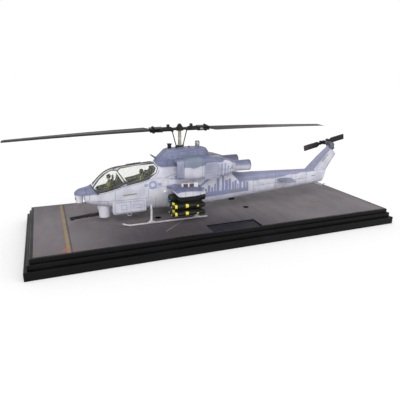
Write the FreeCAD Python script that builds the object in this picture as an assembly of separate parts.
import FreeCAD, Part
import functools
import math
import os

# Helicopter scale model on a display plinth: one STEP file for each sub-part.
#
# Millimetres, +Z up. The origin is the middle of the plinth's underside. The nose points along -X and +Y is
# the helicopter's starboard side. Helicopter heights are measured from the deck that it stands on, and put()
# lifts them onto the plinth. Fore-and-aft stations are measured from the middle of the plinth.

V = FreeCAD.Vector
X_AXIS, Y_AXIS, Z_AXIS = V(1, 0, 0), V(0, 1, 0), V(0, 0, 1)

# Plinth: three moulded tiers, a printed deck panel let into the top, and a closed underside.
TIER_LENGTH = (352.0, 346.5, 342.5)
TIER_WIDTH = (138.4, 132.8, 128.8)
TIER_TOP = (7.0, 11.3, 15.0)
PLINTH_WALL = 2.5
DECK_Z = TIER_TOP[2]
DECK_BORDER = 2.6
DECK_THICKNESS = 0.6
COVER_THICKNESS = 1.6
COVER_SCREW_X = (-160.0, 0.0, 160.0)
COVER_SCREW_Y = 54.0
TIE_DOWN_HOLES = ((-58.0, -9.5), (36.0, -9.5))
TIE_DOWN_RADIUS = 2.5
TIE_DOWN_DEPTH = 7.4
NAME_X = (-22.5, 26.0)
NAME_Y = (-62.6, -43.5)
NAME_DEPTH = 1.6

# Helicopter, main places.
MAST_X = -32.6
HUB_Z = 82.3
ROTOR_RADIUS = 152.4
ROTOR_TILT = 0.8
ROTOR_ANGLE = -1.9
BLADE_CHORD = 17.5
BLADE_DROOP = 3.3
# The blades and grips are feathered by this many degrees at the root, and twist along the blade.
BLADE_PITCH = 5.0
BLADE_TWIST = 7.0
FAIRING_TOP = 64.4
TURRET_X = -106.8
GUN_PITCH = 5.2
TRUNNION = (-109.4, 7.7)
SIGHT_X = -128.0
WING_TIP_Y = 33.0
POD_Y, POD_Z = 17.8, 20.5
RACK_Y = 28.4
MISSILE_Y = (24.4, 32.4)
MISSILE_Z = (9.4, 16.6)
SKID_Y = 23.0
SKID_RADIUS = 0.8
CROSS_TUBE_X = (-68.0, -24.0)
TAIL_HUB = (142.8, 58.9)
TAIL_HUB_Y = 10.0
TAIL_RADIUS = 27.0
TAIL_BLADE_ANGLE = 12.0
EXHAUST_Y, EXHAUST_Z = 14.0, 46.0
COWL_REAR = 17.5
GUNNER_HEAD = (-101.0, 41.8)
PILOT_HEAD = (-70.6, 44.2)
MAST_RADIUS = 1.6
BLADE_ROOT = 19.6
GRIP_BOLTS = ((25.4, -1.6), (25.4, 1.9))
TURRET_RING = 5.9
TURRET_TOP = 17.8
GUN_HALF = 1.7
SIGHT_RADIUS = 4.2
# Where the pitch links stand on the swashplate, forward and sideways of the mast.
LINK_FOOT = (4.3, 2.9)

# Fuselage stations: x, keel height, top height, half width, height of the widest point.
STATIONS = (
    (-131.8, 26.0, 29.6, 2.6, 27.8), (-129.6, 23.6, 31.4, 5.0, 27.4), (-124.0, 20.8, 33.2, 7.4, 27.0),
    (-117.2, 17.8, 35.4, 8.9, 27.0), (-111.0, 16.2, 41.2, 9.7, 27.5), (-104.0, 14.6, 46.9, 10.2, 28.5),
    (-96.0, 13.0, 49.9, 10.5, 29.5), (-84.0, 11.4, 51.2, 10.6, 30.5), (-70.0, 9.2, 52.4, 10.7, 31.5),
    (-57.0, 8.0, 53.2, 10.8, 31.5), (-40.0, 7.4, 51.5, 11.0, 30.5), (-20.0, 7.2, 49.0, 11.0, 29.0),
    (0.0, 8.2, 45.4, 10.6, 27.5), (18.0, 9.5, 39.6, 9.4, 25.5),
)
# The tail boom tapers in straight lines between its first and last stations.
BOOM_FRONT = (34.0, 10.7, 35.3, 8.2, 23.8)
BOOM_REAR = (142.0, 17.7, 31.8, 3.4, 24.2)
BOOM_STATIONS = 10
# Side view of what is cut away above the cockpit sill, from the nose back to the rear bulkhead.
SILL = ((-117.4, 34.6), (-112.2, 28.9), (-104.7, 30.0), (-90.4, 33.5), (-72.2, 36.7), (-65.6, 38.4),
        (-60.5, 41.4), (-57.2, 44.8), (-56.2, 48.0), (-58.6, 54.5))
CANOPY_WALL = 0.9
# The cockpit's front wall, step and rear wall, and its two floors.
ROOM_X = (-111.5, -89.5, -60.5)
ROOM_FLOOR = (22.0, 25.0)
FRONT_WINDOW = ((-114.2, 34.2), (-112.9, 32.7), (-110.9, 31.3), (-100.1, 33.4), (-89.4, 37.0), (-95.2, 47.0),
                (-99.3, 47.0), (-103.8, 44.6), (-109.2, 40.1))
REAR_WINDOW = ((-91.9, 47.4), (-85.1, 36.6), (-74.5, 38.5), (-66.0, 41.0), (-60.3, 44.6), (-58.6, 48.2),
               (-60.4, 50.6), (-76.4, 49.9), (-90.4, 48.4))
DOOR_RIM = 1.4
DOOR_GAP = 0.3
# The windshield runs back over the crew between two roof rails, and the doors start outside the rails.
ROOF_HALF_WIDTH = 3.4
RAIL_HALF_WIDTH = 4.55
# Each door's hinge line along the roof rail, from its front end to its rear end.
GUNNER_HINGE = ((-101.6, -4.6, 47.75), (-96.8, -4.6, 49.55))
PILOT_HINGE = ((-84.0, 4.6, 50.75), (-70.0, 4.6, 51.95))


def box(x, y, z):
    """A box from three (low, high) pairs."""
    return Part.makeBox(x[1] - x[0], y[1] - y[0], z[1] - z[0], V(x[0], y[0], z[0]))


def rod(a, b, radius):
    """A round bar between two points."""
    a, b = V(*a), V(*b)
    return Part.makeCylinder(radius, (b - a).Length, a, b - a)


def cone(a, b, ra, rb):
    """A round taper between two points."""
    a, b = V(*a), V(*b)
    return Part.makeCone(ra, rb, (b - a).Length, a, b - a)


def join(shapes):
    """One shape from several that touch or overlap."""
    shapes = list(shapes)
    return shapes[0].multiFuse(shapes[1:]).removeSplitter() if len(shapes) > 1 else shapes[0]


def side_prism(points, y_low, y_high):
    """A side-view outline, given as (x, z) points, extruded across the helicopter."""
    corners = [V(x, y_low, z) for x, z in points]
    face = Part.Face(Part.makePolygon(corners + corners[:1]))
    return face.extrude(V(0, y_high - y_low, 0))


def plan_prism(points, z_low, z_high):
    """A plan-view outline, given as (x, y) points, extruded upwards."""
    corners = [V(x, y, z_low) for x, y in points]
    face = Part.Face(Part.makePolygon(corners + corners[:1]))
    return face.extrude(V(0, 0, z_high - z_low))


def power(value, exponent):
    return math.copysign(abs(value) ** exponent, value)


def smooth_ring(points):
    """A closed smooth curve; the even parameters let a loft through several rings share its knots."""
    curve = Part.BSplineCurve()
    evenly = [i / len(points) for i in range(len(points) + 1)]
    curve.interpolate(Points=points, PeriodicFlag=True, Parameters=evenly)
    return Part.Wire([curve.toShape()])


def section_ring(points, outline):
    """A smooth section closed by a line at its thin rear edge, spaced along the chord as its outline is."""
    along = [a for a, _ in reversed(outline[1:])] + [a for a, _ in outline]
    places = [0.0]
    for here, after in zip(along, along[1:]):
        places.append(places[-1] + math.sqrt(abs(after - here)))
    curve = Part.BSplineCurve()
    curve.interpolate(Points=points, Parameters=[p / places[-1] for p in places])
    return Part.Wire([curve.toShape(), Part.makeLine(points[-1], points[0])])


def oval_ring(x, y_mid, z_low, z_high, half_width, z_widest, squareness=(3.4, 2.5), count=24):
    """A closed smooth cross-section at station x: squareness is for below and above its widest height."""
    points = []
    for i in range(count):
        angle = 2 * math.pi * i / count
        n = squareness[0] if math.sin(angle) < 0 else squareness[1]
        reach = (z_widest - z_low) if math.sin(angle) < 0 else (z_high - z_widest)
        y = y_mid + half_width * power(math.cos(angle), 2 / n)
        z = z_widest + reach * power(math.sin(angle), 2 / n)
        points.append(V(x, y, z))
    return smooth_ring(points)


def loft(wires, ruled=False):
    return Part.makeLoft(wires, True, ruled)


def largest(shape):
    """The biggest of a shape's solids."""
    return max(shape.Solids, key=lambda s: s.Volume)


def mirrored(shape):
    """The same shape on the helicopter's other side."""
    return shape.mirror(V(0, 0, 0), Y_AXIS)


def both(shape):
    return [shape, mirrored(shape)]


def put(name, shape, lift=DECK_Z):
    """Writes one sub-part, lifted onto the deck unless lift is 0."""
    solids = [s for s in shape.Solids if s.Volume > 1e-4]
    for s in solids:
        if not s.isValid():
            print("not valid:", name)
    made = solids[0] if len(solids) == 1 else Part.makeCompound(solids)
    made = made.copy()
    made.translate(V(0, 0, lift))
    made.exportStep(os.path.join("parts", name + ".step"))
    print(f"{name:28s} {len(solids):3d} solids {sum(s.Volume for s in solids):10.2f} mm3")


# ---------------------------------------------------------------- plinth


def tier(index, inset=0.0, low=None, high=None):
    half_x = TIER_LENGTH[index] / 2 - inset
    half_y = TIER_WIDTH[index] / 2 - inset
    bottom = 0.0 if index == 0 else TIER_TOP[index - 1]
    z = (bottom if low is None else low, TIER_TOP[index] if high is None else high)
    return box((-half_x, half_x), (-half_y, half_y), z)


def deck_pocket(extra=0.0):
    """The shallow pocket in the top tier that the printed panel lies in."""
    half_x = TIER_LENGTH[2] / 2 - DECK_BORDER - extra
    half_y = TIER_WIDTH[2] / 2 - DECK_BORDER - extra
    return box((-half_x, half_x), (-half_y, half_y), (DECK_Z - DECK_THICKNESS, DECK_Z + 1))


def name_pocket():
    return box(NAME_X, NAME_Y, (DECK_Z - NAME_DEPTH, DECK_Z + 1))


def cover_screw_places():
    return [(x, y) for x in COVER_SCREW_X for y in (-COVER_SCREW_Y, COVER_SCREW_Y)]


def base_plinth():
    ceiling = DECK_Z - 3.1
    body = join(tier(i) for i in range(3))
    rims = [e for e in body.Edges if e.BoundBox.ZLength < 1e-6 and any(
        abs(e.BoundBox.ZMax - z) < 1e-6 for z in TIER_TOP)]
    outer = [e for e in rims if e.Length > 100 and any(
        abs(abs(e.CenterOfMass.x) - length / 2) < 0.01 or abs(abs(e.CenterOfMass.y) - width / 2) < 0.01
        for length, width, top in zip(TIER_LENGTH, TIER_WIDTH, TIER_TOP)
        if abs(e.BoundBox.ZMax - top) < 1e-6)]
    body = body.makeFillet(0.5, outer)
    hollow = join([
        tier(0, PLINTH_WALL, -1, TIER_TOP[0] - PLINTH_WALL),
        tier(1, PLINTH_WALL, 0, TIER_TOP[1] - PLINTH_WALL),
        tier(2, PLINTH_WALL, 0, ceiling),
    ])
    body = body.cut(hollow)
    posts = [Part.makeCylinder(3.0, ceiling - COVER_THICKNESS + 0.5, V(x, y, COVER_THICKNESS))
             for x, y in cover_screw_places()]
    foot = DECK_Z - DECK_THICKNESS - TIE_DOWN_DEPTH
    bosses = [Part.makeCylinder(TIE_DOWN_RADIUS + 2.0, TIE_DOWN_DEPTH, V(x, y, foot))
              for x, y in TIE_DOWN_HOLES]
    name_floor = box((NAME_X[0] - 2, NAME_X[1] + 2), (NAME_Y[0] + 0.4, NAME_Y[1] + 2),
                     (DECK_Z - NAME_DEPTH - 2.2, DECK_Z - 1))
    body = join([body, name_floor] + posts + bosses)
    holes = [Part.makeCylinder(0.9, 8.0, V(x, y, 0)) for x, y in cover_screw_places()]
    bores = [Part.makeCylinder(TIE_DOWN_RADIUS, 40, V(x, y, DECK_Z - DECK_THICKNESS - TIE_DOWN_DEPTH))
             for x, y in TIE_DOWN_HOLES]
    body = body.cut(join([deck_pocket(), name_pocket()]))
    for hole in holes + bores:
        body = body.cut(hole)
    return body


def base_cover():
    plate = tier(0, PLINTH_WALL + 0.15, 0, COVER_THICKNESS)
    for x, y in cover_screw_places():
        plate = plate.cut(Part.makeCylinder(1.2, 4, V(x, y, -1)))
        plate = plate.cut(Part.makeCone(2.5, 1.2, 1.3, V(x, y, -0.001)))
    return plate


def cover_screws():
    screws = []
    for x, y in cover_screw_places():
        head = Part.makeCone(2.2, 1.05, 1.15, V(x, y, 0.1))
        shank = Part.makeCylinder(0.85, 6.5, V(x, y, 1.2))
        slot = box((x - 1.5, x + 1.5), (y - 0.25, y + 0.25), (0, 0.5))
        cross = box((x - 0.25, x + 0.25), (y - 1.5, y + 1.5), (0, 0.5))
        screws.append(head.fuse(shank).cut(slot.fuse(cross)).removeSplitter())
    return Part.makeCompound(screws)


def deck_panel():
    """The printed deck, laid in six sections that meet on the centres of the tie-down holes."""
    panel = deck_pocket(0.05)
    panel = panel.cut(box((-400, 400), (-400, 400), (DECK_Z, DECK_Z + 5)))
    panel = panel.cut(box((NAME_X[0] - 0.1, NAME_X[1] + 0.1), (-80, NAME_Y[1] + 0.1), (0, 30)))
    for x, y in TIE_DOWN_HOLES:
        panel = panel.cut(Part.makeCylinder(TIE_DOWN_RADIUS + 0.3, 30, V(x, y, 0)))
    (front, split), (rear, _) = TIE_DOWN_HOLES
    columns, rows = ((-400, front), (front, rear), (rear, 400)), ((-400, split), (split, 400))
    return Part.makeCompound([panel.common(box(column, row, (0, 30))) for column in columns for row in rows])


def name_plate():
    gap = 0.8
    return box((NAME_X[0] + gap, NAME_X[1] - gap), (NAME_Y[0] + gap, NAME_Y[1] - gap),
               (DECK_Z - NAME_DEPTH, DECK_Z - NAME_DEPTH + 0.7))


# ---------------------------------------------------------------- fuselage


@functools.lru_cache(maxsize=None)
def hull(shrink=0.0):
    """The whole outer shape from nose to tail, canopy included; shrink makes it smaller all round."""
    wires = []
    boom = []
    for i in range(BOOM_STATIONS + 1):
        share = i / BOOM_STATIONS
        boom.append([a + (b - a) * share for a, b in zip(BOOM_FRONT, BOOM_REAR)])
    for x, keel, top, half, widest in list(STATIONS) + boom:
        wires.append(oval_ring(x, 0, keel + shrink, top - shrink, half - shrink, widest))
    return loft(wires)


def above_sill():
    """The space over the cockpit that belongs to the canopy."""
    return side_prism([(SILL[0][0], 70)] + list(SILL) + [(SILL[-1][0], 70)], -20, 20)


def cockpit_space(shrink):
    """The room inside the fuselage for the crew."""
    (x0, x1, x2), (front_floor, rear_floor) = ROOM_X, ROOM_FLOOR
    outline = ((x0, front_floor), (x1, front_floor), (x1, rear_floor), (x2, rear_floor), (x2, 53), (x0, 53))
    return hull(shrink).common(side_prism(outline, -20, 20))


def tail_cut():
    """What is cut off behind the raked end of the boom."""
    return side_prism(((131.4, 10), (138.8, 29.9), (136, 29.9), (136, 60), (160, 60), (160, 10)), -20, 20)


def nose_split():
    """The blue upper nose, which is a separate casting."""
    return box((-140, -117.8), (-20, 20), (28.0, 50))


def sight_space():
    """The room under the nose for the sight turret."""
    return box((-140, -123.4), (-20, 20), (10, 28.0))


def fin():
    """The swept tail fin, from inside the boom up to its raked tip."""
    sections = ((27.0, 106.0, 139.0, 1.7), (35.2, 114.6, 143.6, 1.5), (45.6, 125.8, 150.5, 1.3),
                (59.0, 142.2, 159.0, 1.0))
    wires = []
    for z, front, rear, half in sections:
        chord = rear - front
        shape = ((0.0, 0.0), (0.05, 0.55), (0.28, 1.0), (0.65, 0.8), (1.0, 0.28))
        upper = [V(front + chord * a, half * b, z) for a, b in shape]
        lower = [V(p.x, -p.y, z) for p in reversed(upper[1:])]
        wires.append(section_ring(lower + upper, shape))
    blade = loft(wires, True)
    above_tip = side_prism(((120, 77.5), (141.1, 57.6), (152.1, 47.2), (170, 30), (170, 77.5)), -20, 20)
    return blade.cut(above_tip)


def fuselage():
    """The hollow fuselage with the tail fin, before it is split into its two moulded halves."""
    body = hull().cut(above_sill()).cut(tail_cut())
    body = body.cut(cockpit_space(1.3))
    body = body.cut(nose_split()).cut(sight_space())
    body = join([body, fin()])
    body = body.cut(Part.makeCylinder(TURRET_RING + 0.1, 8, V(TURRET_X, 0, 10.0)))
    body = body.cut(Part.makeCylinder(2.05, 3, V(TURRET_X, 0, 17.0)))
    for leg in legs(0.05):
        body = body.cut(leg)
    return body


def half_of(shape, side):
    """The port (-1) or starboard (1) half of a shape."""
    return shape.common(box((-300, 300), sorted((0, 60 * side)), (-10, 120)))


def nose_cap():
    cap = hull().common(nose_split())
    return cap.cut(Part.makeCylinder(1.6, 3, V(SIGHT_X, 0, 27)))


def ammo_bay():
    """The box-shaped bay under the cockpit that carries the gun's ammunition."""
    outline = ((-100.2, 9.2), (-98.6, 7.4), (-72.4, 8.0), (-69.6, 9.6), (-69.6, 20.0), (-100.2, 21.0))
    block = side_prism(outline, -11.5, 11.5)
    corners = [e for e in block.Edges if e.BoundBox.YLength < 1e-6 and e.BoundBox.ZMax < 10 and e.Length > 20]
    block = block.makeFillet(2.4, corners)
    block = block.cut(hull())
    return block.cut(Part.makeCylinder(TURRET_RING + 0.2, 12, V(TURRET_X, 0, 2)))


# ---------------------------------------------------------------- canopy and cockpit


def grown(window, grow):
    """A window's outline with each edge moved out by grow, for the door or frame around it."""
    moved = []
    for before, here, after in zip(window[-1:] + window[:-1], window, window[1:] + window[:1]):
        normals = []
        for start, end in ((before, here), (here, after)):
            length = math.hypot(end[0] - start[0], end[1] - start[1])
            normals.append(((end[1] - start[1]) / length, (start[0] - end[0]) / length))
        (ax, az), (bx, bz) = normals
        reach = grow / (1 + ax * bx + az * bz)
        moved.append((here[0] + (ax + bx) * reach, here[1] + (az + bz) * reach))
    return moved


def opening(window, side, grow=0.0, inner=RAIL_HALF_WIDTH):
    """The space on one side of the canopy, outside inner, that a window and a rim of width grow take up."""
    low, high = sorted((inner * side, 20 * side))
    return side_prism(grown(window, grow) if grow else window, low, high)


def hinge_parts(start, end, side):
    """A door hinge on the roof rail: the fixed pin with its two lugs, and the door's knuckle with its leaf."""
    length = (V(*end) - V(*start)).Length
    inward, leaf = (-1.1 * side, -0.2 * side), (0.15 * side, 0.75 * side)
    pin = rod((0, 0, 0), (length, 0, 0), 0.3)
    lugs = [rod((x, 0, 0), (x + 0.8, 0, 0), 0.5) for x in (0.0, length - 0.8)]
    feet = [box((x, x + 0.8), sorted(inward), (-1.4, 0.0)) for x in (0.0, length - 0.8)]
    middle = (0.95, length - 0.95)
    knuckle = join([rod((middle[0], 0, 0), (middle[1], 0, 0), 0.5), box(middle, sorted(leaf), (-1.3, 0.15))])
    knuckle = knuckle.cut(rod((0, 0, 0), (length, 0, 0), 0.34))
    made = []
    for shape in (join([pin] + lugs + feet), knuckle):
        slope = math.degrees(math.atan2(end[2] - start[2], end[0] - start[0]))
        shape.rotate(V(0, 0, 0), Y_AXIS, -slope)
        shape.translate(V(*start))
        made.append(shape)
    return made


def canopy_parts():
    """The glazed canopy: its fixed frame, the two doors with their hinges, and the windows in them."""
    outer = hull()
    shell = outer.common(above_sill()).cut(hull(CANOPY_WALL))
    glass = hull(0.25).common(above_sill()).cut(hull(CANOPY_WALL - 0.1))
    roof = box((-115.6, -61.0), (-ROOF_HALF_WIDTH, ROOF_HALF_WIDTH), (33.0, 70))
    doors = {"gunner": (FRONT_WINDOW, -1, GUNNER_HINGE), "pilot": (REAR_WINDOW, 1, PILOT_HINGE)}
    frame = shell.cut(roof)
    made = {}
    fixed = []
    for name, (window, side, (start, end)) in doors.items():
        pin, knuckle = hinge_parts(start, end, side)
        pane = opening(window, side, 0.0, RAIL_HALF_WIDTH + DOOR_GAP)
        border = opening(window, side, DOOR_RIM, RAIL_HALF_WIDTH + DOOR_GAP).cut(pane)
        door = join([shell.common(border), knuckle.cut(hull(CANOPY_WALL))])
        made[name + "_door_frame"] = door
        made[name + "_door_window"] = largest(glass.common(pane).cut(door))
        fixed.append(pin.cut(outer))
        frame = frame.cut(opening(window, side, DOOR_RIM + DOOR_GAP))
        frame = frame.cut(opening(window, -side))
    made["canopy_frame"] = frame
    made["door_hinge_pins"] = Part.makeCompound(fixed)
    panes = [glass.common(opening(FRONT_WINDOW, 1)), glass.common(opening(REAR_WINDOW, -1))]
    made["fixed_side_windows"] = Part.makeCompound(panes)
    made["windshield"] = glass.common(roof)
    return made


def cockpit_tub():
    """The dark inner lining: floor, walls up to the sill and the bulkhead behind the pilot."""
    lining = cockpit_space(1.4)
    (x0, x1, x2), (front_floor, rear_floor) = ROOM_X, ROOM_FLOOR
    inside = side_prism(((x0 + 1, front_floor + 1), (x1 + 1, front_floor + 1), (x1 + 1, rear_floor + 1),
                         (x2 - 1, rear_floor + 1), (x2 - 1, 60), (x0 + 1, 60)), -20, 20)
    tub = lining.cut(hull(2.3).common(inside))
    tub = tub.cut(above_sill().common(box((-200, x2 - 1.0), (-20, 20), (0, 90))))
    return tub.common(hull(1.4))


def figure(head):
    """A seated crew member with a helmet; head is the middle of the head."""
    x, z = head
    skull = Part.makeSphere(2.35, V(x, 0, z))
    neck = rod((x + 0.6, 0, z - 5), (x + 0.2, 0, z), 1.1)
    rings = []
    for rear, front, half, height in ((x + 3.0, x - 1.0, 2.9, z - 13.0), (x + 1.9, x - 1.4, 4.1, z - 4.2)):
        corners = [V(x, y, height) for x, y in ((rear, -half), (rear, half), (front, half), (front, -half))]
        rings.append(Part.makePolygon(corners + corners[:1]))
    chest = loft([Part.Wire(r.Edges) for r in rings])
    limbs = []
    for side in (-1, 1):
        shoulder, elbow = (x + 0.4, 3.9 * side, z - 5.4), (x - 1.8, 5.0 * side, z - 9.6)
        hand, hip = (x - 5.8, 2.0 * side, z - 9.2), (x + 1.0, 1.9 * side, z - 12.6)
        knee, foot = (x - 7.0, 2.6 * side, z - 11.2), (x - 8.4, 2.2 * side, z - 16.0)
        limbs += [rod(shoulder, elbow, 1.15), rod(elbow, hand, 0.95), Part.makeSphere(1.2, V(*elbow)),
                  rod(hip, knee, 1.7), Part.makeSphere(1.6, V(*knee)), rod(knee, foot, 1.25)]
    return join([skull, neck, chest] + limbs)


def seat(head, body):
    """A bucket seat with a tall back and a headrest, hollowed to its occupant."""
    x, z = head
    pan = box((x - 4.0, x + 4.6), (-4.0, 4.0), (z - 16.2, z - 13.4))
    sides = box((x - 2.0, x + 4.6), (-4.0, 4.0), (z - 13.4, z - 11.0)).cut(
        box((x - 9.0, x + 3.4), (-3.2, 3.2), (z - 14, z - 9)))
    back = ((x + 3.1, z - 13.4), (x + 5.2, z - 13.4), (x + 4.0, z - 2.6), (x + 2.1, z - 2.6))
    rest = ((x + 2.8, z - 3.0), (x + 4.5, z - 3.0), (x + 4.5, z + 1.4), (x + 2.9, z + 1.4))
    return join([pan, sides, side_prism(back, -3.9, 3.9), side_prism(rest, -1.9, 1.9)]).cut(body)


def instrument_panels():
    """The pilot's coaming between the two cockpits and the gunner's panel and sight in front."""
    low, high = ROOM_FLOOR[0] + 1, ROOM_FLOOR[1] + 1
    rear = side_prism(((-94.0, high), (-95.0, 33), (-92.6, 43.2), (-91.4, 43.6), (-87.0, 35.2), (-87.6, high)),
                      -6.4, 6.4)
    step = side_prism(((-94.0, low), (-90.6, low), (-90.6, 27), (-94.0, 27)), -6.4, 6.4)
    front = side_prism(((-110.4, 23.2), (-110.4, 32.6), (-108.6, 33.0), (-106.9, 31.2), (-107.6, 23.2)),
                       -5.0, 5.0)
    eyepiece = cone((-108, 0, 31.6), (-105.2, 0, 33.2), 1.3, 0.8)
    block = Part.makeCompound([join([rear, step]), join([front, eyepiece])])
    return block.common(hull(2.4))


# ---------------------------------------------------------------- engines and top of the fuselage


def plan_ring(x_low, x_high, half_width, z, squareness=3.4, count=20):
    """A rounded plan-view ring at height z."""
    mid, reach = (x_low + x_high) / 2, (x_high - x_low) / 2
    points = []
    for i in range(count):
        angle = 2 * math.pi * i / count
        x = mid + reach * power(math.cos(angle), 2 / squareness)
        points.append(V(x, half_width * power(math.sin(angle), 2 / squareness), z))
    return smooth_ring(points)


def mast_fairing():
    """The tall casing around the gearbox and mast, with the bore that the mast turns in."""
    rings = ((44.0, -60.0, 2.2, 9.4), (50.4, -60.2, 0.0, 9.4), (56.0, -56.4, -2.4, 8.6),
             (61.0, -51.2, -4.9, 7.6), (63.4, -48.8, -6.6, 6.8), (FAIRING_TOP, -46.2, -10.0, 5.6))
    body = loft([plan_ring(low, high, half, z) for z, low, high, half in rings], True)
    body = body.cut(hull())
    collar = Part.makeCylinder(4.2, 1.0, V(MAST_X, 0, FAIRING_TOP))
    body = join([body, collar])
    return body.cut(Part.makeCylinder(MAST_RADIUS + 0.06, 30, V(MAST_X, 0, 56.0)))


def cowl_ring(x, y_mid, half_width, z_low, z_high, squareness=3.6):
    return oval_ring(x, y_mid, z_low, z_high, half_width, (z_low + z_high) / 2, (squareness, squareness), 20)


def engine_cowl():
    """One engine's cowling on the port side, behind its intake."""
    rings = ((-35.0, -13.2, 6.4, 37.4, 55.6), (-28.0, -13.0, 6.9, 36.4, 57.2),
             (-14.0, -13.0, 7.0, 36.1, 57.2), (0.0, -13.0, 6.9, 36.4, 56.0),
             (9.0, -13.4, 6.4, 38.0, 54.4), (14.0, -13.8, 5.9, 39.6, 52.8),
             (COWL_REAR, -EXHAUST_Y, 5.5, 40.4, 51.6))
    return loft([cowl_ring(*r) for r in rings])


def intake():
    """One engine's intake block with its open duct facing forwards."""
    block = [cowl_ring(-41.4, -13.2, 6.2, 38.2, 54.4, 5.0), cowl_ring(-35.0, -13.2, 6.4, 37.4, 55.6, 5.0)]
    duct = [cowl_ring(-42.0, -13.2, 5.2, 39.4, 53.2, 5.0), cowl_ring(-36.4, -13.2, 4.4, 40.6, 52.0, 5.0)]
    return loft(block).cut(loft(duct))


def cooling_grille(cowl):
    """The raised, ribbed screen on the side of the cowling."""
    outline = ((-14.6, 36.8), (-14.6, 50.8), (-12.6, 52.4), (-3.0, 52.2), (0.0, 50.0), (1.4, 45.6),
               (1.4, 41.0), (0.0, 37.6), (-1.6, 36.6))
    plate = side_prism(outline, -20.7, -18.6)
    ribs = [box((-13.6, 0.4), (-21.2, -20.4), (38.2 + 2.1 * i, 39.2 + 2.1 * i)) for i in range(7)]
    return join([plate] + [r.common(side_prism(outline, -25, 0)) for r in ribs]).cut(cowl)


def exhaust():
    """The round exhaust duct with the cone of the turbine inside it."""
    y, z = -EXHAUST_Y, EXHAUST_Z
    tube = cone((COWL_REAR, y, z), (34.8, y, z), 5.1, 5.35)
    tube = tube.cut(cone((COWL_REAR + 2.0, y, z), (34.9, y, z), 4.4, 4.85))
    plug = cone((COWL_REAR + 1.9, y, z), (COWL_REAR + 9.0, y, z), 2.2, 0.5)
    return join([tube, plug])


def jammer():
    """The lamp on top of the fairing: a foot, a ring and a faceted lens."""
    x, z = -14.8, FAIRING_TOP
    base = Part.makeCylinder(1.7, 1.4, V(x, 0, z - 0.6))
    facets = 10
    turns = [2 * math.pi * i / facets for i in range(facets + 1)]
    points = [V(x + 2.35 * math.cos(t), 2.35 * math.sin(t), z + 0.8) for t in turns]
    lens = Part.Face(Part.makePolygon(points)).extrude(V(0, 0, 4.3))
    lid = Part.makeCone(2.3, 1.5, 0.8, V(x, 0, z + 5.1))
    return join([base, lens, lid])


def sensor_drum():
    """The black flared drum on the front of the fairing's top."""
    x = -42.9
    neck = Part.makeCylinder(1.85, 4.2, V(x, 0, FAIRING_TOP - 1.2))
    flare = Part.makeCone(1.85, 2.45, 0.9, V(x, 0, FAIRING_TOP + 3.0))
    lid = Part.makeCylinder(2.45, 0.4, V(x, 0, FAIRING_TOP + 3.9))
    return join([neck, flare, lid])


def belly_aerial():
    """The small black housing under the front of the tail boom."""
    foot = box((20.6, 26.4), (-2.4, 2.4), (7.2, 13.0))
    edges = [e for e in foot.Edges if e.BoundBox.XLength < 1e-6 and e.BoundBox.YLength < 1e-6]
    foot = foot.makeFillet(0.8, edges)
    return foot.cut(hull())


def wire_cutter():
    post = side_prism(((-56.0, 54.0), (-54.2, 55.6), (-61.0, 59.9), (-61.9, 59.2)), -0.4, 0.4)
    return post.cut(hull())


def beacon():
    x = -23.4
    return join([Part.makeCylinder(1.0, 1.0, V(x, 0, FAIRING_TOP - 0.4)),
                 Part.makeSphere(0.9, V(x, 0, FAIRING_TOP + 0.6))])


# ---------------------------------------------------------------- main rotor


def on_mast(shape):
    """Moves a shape made round the origin to the top of the mast, with the rotor's angle and see-saw tilt."""
    shape = shape.copy()
    shape.rotate(V(0, 0, 0), Y_AXIS, -ROTOR_TILT)
    shape.rotate(V(0, 0, 0), Z_AXIS, ROTOR_ANGLE)
    shape.translate(V(MAST_X, 0, HUB_Z))
    return shape


def turned(shape):
    """The same shape for the opposite blade."""
    other = shape.copy()
    other.rotate(V(0, 0, 0), Z_AXIS, 180)
    return other


def blade_ring(reach, chord, thickness, drop, roll):
    """A blade's cross-section at a given distance from the mast, with its leading edge at +y."""
    outline = ((0.0, 0.0), (0.03, 0.32), (0.12, 0.72), (0.3, 1.0), (0.6, 0.62), (1.0, 0.06))
    front = 0.32 * BLADE_CHORD * min(1.0, chord / BLADE_CHORD + 0.08)
    upper = [(front - chord * a, thickness / 2 * b) for a, b in outline]
    lower = [(y, -z) for y, z in reversed(upper[1:])]
    turn_y, turn_z = math.cos(math.radians(roll)), math.sin(math.radians(roll))
    points = [V(reach, y * turn_y - z * turn_z, y * turn_z + z * turn_y - drop) for y, z in lower + upper]
    return section_ring(points, outline)


def main_blade(sense):
    """One blade, along +x; sense is 1 where its leading edge is feathered up at the root, -1 where down."""
    rings = []
    for reach, chord in ((BLADE_ROOT, 6.4), (27.6, 9.0), (32.0, BLADE_CHORD), (60.0, BLADE_CHORD),
                         (90.0, BLADE_CHORD), (122.0, BLADE_CHORD), (ROTOR_RADIUS - 0.2, BLADE_CHORD)):
        share = (reach - BLADE_ROOT) / (ROTOR_RADIUS - BLADE_ROOT)
        roll = sense * (BLADE_PITCH - BLADE_TWIST * max(0.0, reach - 32.0) / (ROTOR_RADIUS - 32.0))
        rings.append(blade_ring(reach, chord, 1.7, BLADE_DROOP * share ** 1.6, roll))
    blade = loft(rings, True)
    holes = [feathered(Part.makeCylinder(0.75, 6, V(x, y, -3)), sense) for x, y in GRIP_BOLTS]
    return blade.cut(join(holes))


def feathered(shape, sense):
    """Turns a shape on the rotor arm about the arm, as its blade is feathered."""
    shape = shape.copy()
    shape.rotate(V(0, 0, 0), X_AXIS, sense * BLADE_PITCH)
    return shape


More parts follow.
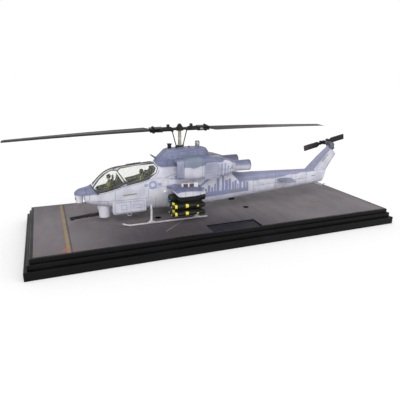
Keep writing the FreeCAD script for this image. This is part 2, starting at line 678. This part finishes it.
def blade_grip():
    """One blade grip: a round barrel on the yoke that forks above and below the blade's root."""
    barrel = rod((8.0, 0, 0), (19.0, 0, 0), 2.1)
    fork = side_prism(((17.0, 2.0), (28.8, 1.75), (28.8, -1.75), (17.0, -2.0)), -3.4, 3.4)
    slot = box((BLADE_ROOT - 0.6, 40), (-9, 9), (-0.95, 0.95))
    bore = box((0, 14.0), (-1.9, 1.9), (-1.2, 1.2))
    horn = join([box((7.0, 9.2), (1.4, 4.4), (-1.6, -0.2)), box((10.0, 12.4), (-1.3, 1.3), (1.6, 4.3))])
    return join([barrel, fork, horn]).cut(slot).cut(bore)


def grip_bolts():
    bolts = []
    for x, y in GRIP_BOLTS:
        bolts.append(join([rod((x, y, -2.9), (x, y, 3.1), 0.7), rod((x, y, 1.8), (x, y, 2.7), 1.25),
                           rod((x, y, -2.6), (x, y, -1.8), 1.25)]))
    return Part.makeCompound(bolts)


def rotor_yoke():
    """The flat bar through the mast's head that carries both grips."""
    bar = box((-13.9, 13.9), (-1.85, 1.85), (-1.15, 1.15))
    hub = Part.makeCylinder(3.3, 3.6, V(0, 0, -1.7))
    return on_mast(join([bar, hub])).cut(Part.makeCylinder(MAST_RADIUS, 40, V(MAST_X, 0, 60)))


def drag_brace():
    return join([rod((9.5, -3.5, 0.0), (25.0, -4.8, 0.0), 0.5), box((8.9, 10.6), (-4.0, -1.9), (-0.6, 0.6)),
                 box((23.2, 25.6), (-5.6, -3.4), (-0.6, 0.6))])


def pitch_links():
    """The two slanted rods from the swashplate up to the grips' horns."""
    links = []
    for side in (-1, 1):
        low = V(MAST_X + LINK_FOOT[0] * side, LINK_FOOT[1] * side, 66.0)
        high = V(MAST_X + 8.1 * side, LINK_FOOT[1] * side, 80.3)
        rods = [rod(low, high, 0.5), Part.makeSphere(0.8, high), Part.makeSphere(0.8, low)]
        links.append(join(rods))
    return Part.makeCompound(links)


def swashplate():
    """The turning ring round the foot of the mast that the pitch links stand on."""
    ring = Part.makeCylinder(3.2, 1.3, V(MAST_X, 0, FAIRING_TOP + 1.1))
    reach = math.hypot(*LINK_FOOT) + 0.6
    arms = box((-reach, reach), (-0.9, 0.9), (FAIRING_TOP + 1.3, FAIRING_TOP + 2.1))
    arms.rotate(V(0, 0, 0), Z_AXIS, math.degrees(math.atan2(LINK_FOOT[1], LINK_FOOT[0])))
    arms.translate(V(MAST_X, 0, 0))
    pads = [Part.makeCylinder(1.1, 0.9, V(MAST_X + LINK_FOOT[0] * s, LINK_FOOT[1] * s, FAIRING_TOP + 1.2))
            for s in (-1, 1)]
    return join([ring, arms] + pads).cut(Part.makeCylinder(MAST_RADIUS, 40, V(MAST_X, 0, 60)))


def main_rotor_parts():
    mast = Part.makeCylinder(MAST_RADIUS, HUB_Z + 2.6 - 56.1, V(MAST_X, 0, 56.1))
    yoke = rotor_yoke()
    links = pitch_links()
    plate = swashplate().cut(links)
    washer, cap = Part.makeCylinder(2.3, 1.6, V(0, 0, 1.9)), Part.makeCone(2.0, 1.0, 1.2, V(0, 0, 3.5))
    nut = on_mast(join([washer, cap]))
    grips, bolts, braces, blades = [], [], [], []
    for sense, placed in ((1, on_mast), (-1, lambda shape: on_mast(turned(shape)))):
        blade, bolt = main_blade(sense), feathered(grip_bolts(), sense)
        grip, brace = feathered(blade_grip(), sense), feathered(drag_brace(), sense)
        grips.append(placed(grip.cut(bolt)).cut(yoke).cut(links))
        bolts.append(placed(bolt))
        braces.append(placed(brace.cut(grip).cut(blade)))
        blades.append(placed(blade))
    return {
        "main_mast": mast.cut(nut),
        "rotor_yoke": yoke.cut(nut),
        "mast_nut": nut,
        "swashplate": plate,
        "pitch_links": links,
        "blade_grips": Part.makeCompound(grips),
        "grip_bolts": Part.makeCompound(bolts),
        "drag_braces": Part.makeCompound(braces),
        "main_blades": Part.makeCompound(blades),
    }


# ---------------------------------------------------------------- tail


def on_tail_hub(shape):
    """Moves a shape made round the origin, with its shaft along +y, to the tail rotor's hub."""
    shape = shape.copy()
    shape.rotate(V(0, 0, 0), Y_AXIS, -TAIL_BLADE_ANGLE)
    shape.translate(V(TAIL_HUB[0], TAIL_HUB_Y, TAIL_HUB[1]))
    return shape


def tail_gearbox(solid_fin):
    x, z = TAIL_HUB
    case = join([rod((x + 1.0, -2.8, z - 1.2), (x + 1.0, 3.4, z - 1.2), 3.1),
                 rod((x, 2.0, z), (x, 6.2, z), 2.1), rod((x + 4.4, 0, z - 5.6), (x + 1.0, 0, z - 1.2), 2.3)])
    return largest(case.cut(solid_fin)).cut(rod((x, 0.9, z), (x, 12, z), 1.06))


def tail_shaft():
    x, z = TAIL_HUB
    return rod((x, 1.0, z), (x, TAIL_HUB_Y + 2.0, z), 1.0)


def tail_hub():
    """The hub block, the blade roots' cuffs and the small pitch-change arms on the outside."""
    block = join([rod((0, -1.4, 0), (0, 1.4, 0), 2.3), box((-6.4, 6.4), (-0.8, 0.8), (-1.3, 1.3))])
    arms = [box((-4.6, 4.6), (1.7, 2.5), (-0.7, 0.7)), rod((0, 1.2, 0), (0, 3.0, 0), 1.4)]
    for side in (-1, 1):
        arms.append(rod((4.2 * side, -0.5, 1.9), (4.2 * side, 2.4, 1.9), 0.55))
        arms.append(box(sorted((3.4 * side, 5.6 * side)), (-1.2, 1.2), (1.0, 2.9)))
    hub = on_tail_hub(join([block] + arms))
    return hub.cut(tail_shaft())


def tail_blades():
    rings = []
    for reach, chord, thickness in ((6.5, 3.4, 1.2), (9.5, 6.3, 0.9), (TAIL_RADIUS, 6.3, 0.7)):
        points = ((-chord / 2, 0.0), (-chord / 4, thickness / 2), (chord / 4, thickness / 2.4),
                  (chord / 2, 0.0), (chord / 4, -thickness / 2.4), (-chord / 4, -thickness / 2))
        corners = [V(reach, y, z) for z, y in points]
        rings.append(Part.makePolygon(corners + corners[:1]))
    blade = loft([Part.Wire(r.Edges) for r in rings], True)
    other = blade.copy()
    other.rotate(V(0, 0, 0), Y_AXIS, 180)
    return Part.makeCompound([on_tail_hub(blade), on_tail_hub(other)])


def stabiliser():
    """The small fixed wing on the port side of the boom."""
    wires = []
    for y, front, rear, thick in ((-3.0, 73.0, 92.0, 2.0), (-22.0, 76.0, 87.5, 1.2)):
        chord = rear - front
        shape = ((0.0, 0.0), (0.08, 0.7), (0.35, 1.0), (0.7, 0.6), (1.0, 0.1))
        upper = [V(front + chord * a, y, 25.6 + thick / 2 * b) for a, b in shape]
        lower = [V(p.x, y, 51.2 - p.z) for p in reversed(upper[1:])]
        wires.append(Part.makePolygon(lower + upper + lower[:1]))
    return loft([Part.Wire(w.Edges) for w in wires], True).cut(hull())


def tail_skid():
    spur = join([rod((128.0, 0, 15.4), (136.5, 0, 12.6), 0.6), rod((136.5, 0, 12.6), (141.5, 0, 13.4), 0.55),
                 Part.makeSphere(0.65, V(136.5, 0, 12.6)), rod((128.0, 0, 19.0), (128.0, 0, 15.4), 0.6),
                 Part.makeSphere(0.6, V(128.0, 0, 15.4))])
    return spur.cut(hull())


# ---------------------------------------------------------------- wings and stores


def stub_wing():
    wires = []
    for y, front, rear, low, high in ((-9.0, -46.5, -16.5, 26.4, 30.9), (-30.6, -46.0, -18.0, 25.0, 29.9),
                                      (-WING_TIP_Y, -45.4, -18.8, 25.3, 29.2)):
        wires.append(wing_ring(y, front, rear, low, high))
    wing = loft(wires, True)
    lump = [cone((-49.5, -11.6, 30.2), (-42.0, -12.2, 30.2), 0.9, 2.3),
            cone((-42.0, -12.2, 30.2), (-34.0, -12.0, 29.6), 2.3, 0.8)]
    return join([wing] + lump).cut(hull())


def wing_ring(y, front, rear, low, high):
    """A wing's cross-section with a blunt rounded nose and a thin tail."""
    mid, half, chord = (low + high) / 2, (high - low) / 2, rear - front
    shape = ((0.0, 0.0), (0.03, 0.62), (0.12, 0.95), (0.35, 1.0), (0.72, 0.75), (1.0, 0.3))
    upper = [V(front + chord * a, y, mid + half * b) for a, b in shape]
    lower = [V(p.x, y, 2 * mid - p.z) for p in reversed(upper[1:])]
    return Part.Wire(Part.makePolygon(lower + upper + lower[:1]).Edges)


def pylon(y, low):
    outline = ((-43.0, 0.0), (-40.0, 1.1), (-27.0, 1.1), (-22.5, 0.0), (-27.0, -1.1), (-40.0, -1.1))
    return plan_prism([(x, -y + w) for x, w in outline], low, 27.6)


def rocket_pod():
    """A round pod with a ring of launch tubes in its front face."""
    front, rear = -49.0, -14.4
    body = rod((front + 1.2, -POD_Y, POD_Z), (rear, -POD_Y, POD_Z), 4.25)
    nose = cone((front, -POD_Y, POD_Z), (front + 1.2, -POD_Y, POD_Z), 3.9, 4.25)
    pod = join([body, nose])
    turns = [math.pi * i / 3 for i in range(6)]
    tubes = [(0.0, 0.0)] + [(2.65 * math.cos(t), 2.65 * math.sin(t)) for t in turns]
    for dy, dz in tubes:
        for x in (front - 0.1, rear - 2.4):
            pod = pod.cut(rod((x, -POD_Y + dy, POD_Z + dz), (x + 2.5, -POD_Y + dy, POD_Z + dz), 0.95))
    return pod


def missile(y, z):
    """A blunt missile with a glass-nosed tip and four small tail fins."""
    front, rear = -51.8, -19.5
    made = [rod((front + 2.2, -y, z), (rear, -y, z), 1.85),
            cone((front + 0.6, -y, z), (front + 2.2, -y, z), 1.15, 1.85),
            cone((front, -y, z), (front + 0.6, -y, z), 0.6, 1.15)]
    for i in range(4):
        fin_plate = box((rear - 6.0, rear - 1.0), (-0.2, 0.2), (1.4, 2.9))
        fin_plate.rotate(V(0, 0, 0), X_AXIS, 45 + 90 * i)
        fin_plate.translate(V(0, -y, z))
        made.append(fin_plate)
    return join(made)


def missile_rack():
    """The outer launcher: a spine plate with one rail for each missile."""
    spine = box((-43.0, -23.5), (-RACK_Y - 0.9, -RACK_Y + 0.9), (MISSILE_Z[0] - 1.0, 24.2))
    head = box((-44.5, -22.0), (-RACK_Y - 1.5, -RACK_Y + 1.5), (22.0, 24.2))
    arms = []
    for z in MISSILE_Z:
        arms.append(box((-41.0, -25.0), (-MISSILE_Y[1], -MISSILE_Y[0]), (z + 2.2, z + 3.0)))
        for y in MISSILE_Y:
            arms.append(box((-47.0, -21.5), (-y - 0.55, -y + 0.55), (z + 1.9, z + 2.6)))
    return join([spine, head] + arms)


def dispenser():
    housing = box((-36.4, -20.6), (-18.0, -13.6), (28.0, 33.4))
    edges = [e for e in housing.Edges if e.BoundBox.ZLength < 1e-6 and e.BoundBox.ZMax > 33]
    return housing.makeFillet(0.5, edges)


# ---------------------------------------------------------------- landing gear


def legs(extra=0.0):
    """The four bowed legs that run from the belly out and down to the skids."""
    made = []
    for x in CROSS_TUBE_X:
        path = ((x + 4.3, -5.0, 12.8), (x + 3.6, -9.6, 12.5), (x + 2.4, -15.2, 9.6), (x + 1.0, -19.8, 5.2),
                (x, -SKID_Y, 1.0))
        radius = 1.05 + extra
        pieces = [rod(a, b, radius) for a, b in zip(path, path[1:])]
        made += both(join(pieces + [Part.makeSphere(radius, V(*p)) for p in path[1:-1]]))
    return made


def skid_tube():
    y = -SKID_Y
    path = ((-93.8, y, 2.8), (-91.2, y, 1.7), (-87.6, y, SKID_RADIUS), (-13.0, y, SKID_RADIUS))
    tubes = [rod(a, b, SKID_RADIUS) for a, b in zip(path, path[1:])]
    balls = [Part.makeSphere(SKID_RADIUS, V(*p)) for p in path[:-1]]
    return join(tubes + balls)


def saddle(x):
    """The clamp on a skid tube that a leg stands in."""
    clamp = rod((x - 3.0, -SKID_Y, 1.3), (x + 3.0, -SKID_Y, 1.3), 1.2)
    cuff = rod((x, -22.7, 1.9), (x, -22.0, 3.6), 1.5)
    return join([clamp, cuff])


# ---------------------------------------------------------------- turrets


def turret_body():
    """The chin turret: its bearing ring, drum and slightly tapered lower housing, slotted for the gun."""
    top = TURRET_TOP
    made = [Part.makeCylinder(TURRET_RING, top - 12.8, V(TURRET_X, 0, 12.8)),
            Part.makeCylinder(2.0, 2.0, V(TURRET_X, 0, top - 0.1)),
            Part.makeCone(5.1, 5.6, 8.2, V(TURRET_X, 0, 4.6)),
            Part.makeCone(4.5, 5.1, 0.6, V(TURRET_X, 0, 4.0))]
    body = join(made)
    slot = box((-125, TRUNNION[0] + 2.8), (-GUN_HALF - 0.25, GUN_HALF + 0.25), (2, 12.4))
    body = body.cut(slot)
    x, z = TRUNNION
    return body.cut(rod((x, -3.8, z), (x, 3.8, z), 0.62))


def gun_frame(shape):
    """Moves a gun shape, made level and pointing along -x from its trunnion, to its resting pitch."""
    shape = shape.copy()
    shape.rotate(V(0, 0, 0), Y_AXIS, -GUN_PITCH)
    shape.translate(V(TRUNNION[0], 0, TRUNNION[1]))
    return shape


def gun_cradle():
    """The gun's receiver on its trunnion pin."""
    block = join([rod((0, -GUN_HALF, 0), (0, GUN_HALF, 0), 2.0),
                  box((-8.2, 0.0), (-GUN_HALF, GUN_HALF), (-1.45, 1.45)), rod((0, -3.6, 0), (0, 3.6, 0), 0.58)])
    return gun_frame(block)


def gun_barrels():
    """Three barrels held by a collar at the receiver, a middle clamp and a muzzle clamp."""
    collars = ((-8.2, -10.4, 1.8), (-12.4, -14.2, 1.74), (-19.0, -19.9, 1.74), (-25.6, -26.8, 1.8))
    made = [rod((start, 0, 0), (end, 0, 0), radius) for start, end, radius in collars]
    for i in range(3):
        angle = math.radians(90 + 120 * i)
        y, z = 0.98 * math.cos(angle), 0.98 * math.sin(angle)
        made.append(rod((-10.0, y, z), (-28.2, y, z), 0.62).cut(rod((-25.0, y, z), (-29.0, y, z), 0.34)))
    return gun_frame(join(made))


def sight_turret():
    """The stabilised sight under the nose: a tapered drum on a vertical pin with a window recess in front."""
    drum = Part.makeCone(3.0, SIGHT_RADIUS, 7.4, V(SIGHT_X, 0, 20.4))
    chin = Part.makeCone(2.3, 3.0, 0.7, V(SIGHT_X, 0, 19.7))
    pin = Part.makeCylinder(1.5, 2.6, V(SIGHT_X, 0, 27.2))
    recess = box((-140, SIGHT_X - 1.9), (-2.2, 2.2), (21.8, 26.6))
    return join([drum, chin]).cut(recess).fuse(pin).removeSplitter()


def sight_window():
    return box((SIGHT_X - 2.4, SIGHT_X - 1.9), (-2.2, 2.2), (21.8, 26.6))


def main():
    os.makedirs("parts", exist_ok=True)
    put("base_plinth", base_plinth(), 0)
    put("base_cover", base_cover(), 0)
    put("cover_screws", cover_screws(), 0)
    put("deck_panel", deck_panel(), 0)
    put("name_plate", name_plate(), 0)

    outer = hull()
    body = fuselage()
    put("fuselage_port", half_of(body, -1))
    put("fuselage_starboard", half_of(body, 1))
    put("nose_cap", nose_cap())
    put("ammo_bay", ammo_bay())
    for name, shape in canopy_parts().items():
        put(name, shape)
    put("cockpit_tub", cockpit_tub())
    crew = {"gunner": figure(GUNNER_HEAD), "pilot": figure(PILOT_HEAD)}
    seats = [seat(GUNNER_HEAD, crew["gunner"]), seat(PILOT_HEAD, crew["pilot"])]
    put("crew_seats", Part.makeCompound(seats))
    panels = instrument_panels()
    for shape in seats + list(crew.values()):
        panels = panels.cut(shape)
    put("instrument_panels", panels)
    for name, shape in crew.items():
        put(name + "_figure", shape)

    fairing = mast_fairing()
    aerials = Part.makeCompound([sensor_drum(), belly_aerial()])
    top_fittings = {"jammer_lamp": jammer(), "aerials": aerials, "wire_cutter": wire_cutter(),
                    "beacon": beacon()}
    for shape in top_fittings.values():
        fairing = fairing.cut(shape)
    for name, shape in top_fittings.items():
        put(name, shape)
    cowl = engine_cowl().cut(outer).cut(mast_fairing())
    inlet = intake().cut(outer).cut(mast_fairing())
    put("mast_fairing", fairing)
    put("engine_cowls", Part.makeCompound(both(cowl)))
    put("engine_intakes", Part.makeCompound(both(inlet)))
    put("cooling_grilles", Part.makeCompound(both(cooling_grille(cowl))))
    put("exhaust_ducts", Part.makeCompound(both(exhaust())))
    for name, shape in main_rotor_parts().items():
        put(name, shape)

    put("tail_gearbox", tail_gearbox(fin()))
    put("tail_shaft", tail_shaft())
    hub = tail_hub()
    put("tail_hub", hub)
    put("tail_blades", tail_blades().cut(hub))
    put("stabilisers", Part.makeCompound(both(stabiliser())))
    put("tail_skid", tail_skid())

    wing = stub_wing()
    rack, pod = missile_rack(), rocket_pod()
    missiles = [missile(y, z) for y in MISSILE_Y for z in MISSILE_Z]
    for m in missiles:
        rack = rack.cut(m)
    pylons = [pylon(POD_Y, POD_Z + 3.8).cut(wing).cut(pod), pylon(RACK_Y, 24.2).cut(wing)]
    put("stub_wings", Part.makeCompound(both(wing)))
    put("pylons", Part.makeCompound([p for shape in pylons for p in both(shape)]))
    put("missile_racks", Part.makeCompound(both(rack)))
    put("missiles", Part.makeCompound([p for m in missiles for p in both(m)]))
    put("rocket_pods", Part.makeCompound(both(pod)))
    put("flare_dispensers", Part.makeCompound(both(dispenser().cut(wing).cut(outer))))

    tube = skid_tube()
    clamps = [saddle(x).cut(tube) for x in CROSS_TUBE_X]
    struts = legs()
    put("skid_tubes", Part.makeCompound(both(tube)))
    all_clamps = []
    for clamp in clamps:
        for leg in struts:
            clamp = clamp.cut(leg)
        all_clamps += both(clamp)
    put("skid_saddles", Part.makeCompound(all_clamps))
    tubes = both(tube)
    put("skid_legs", Part.makeCompound([leg.cut(tubes[0]).cut(tubes[1]) for leg in struts]))

    cradle = gun_cradle()
    put("turret_body", turret_body())
    put("gun_cradle", cradle)
    put("gun_barrels", gun_barrels().cut(cradle))
    put("sight_turret", sight_turret())
    put("sight_window", sight_window())


main()
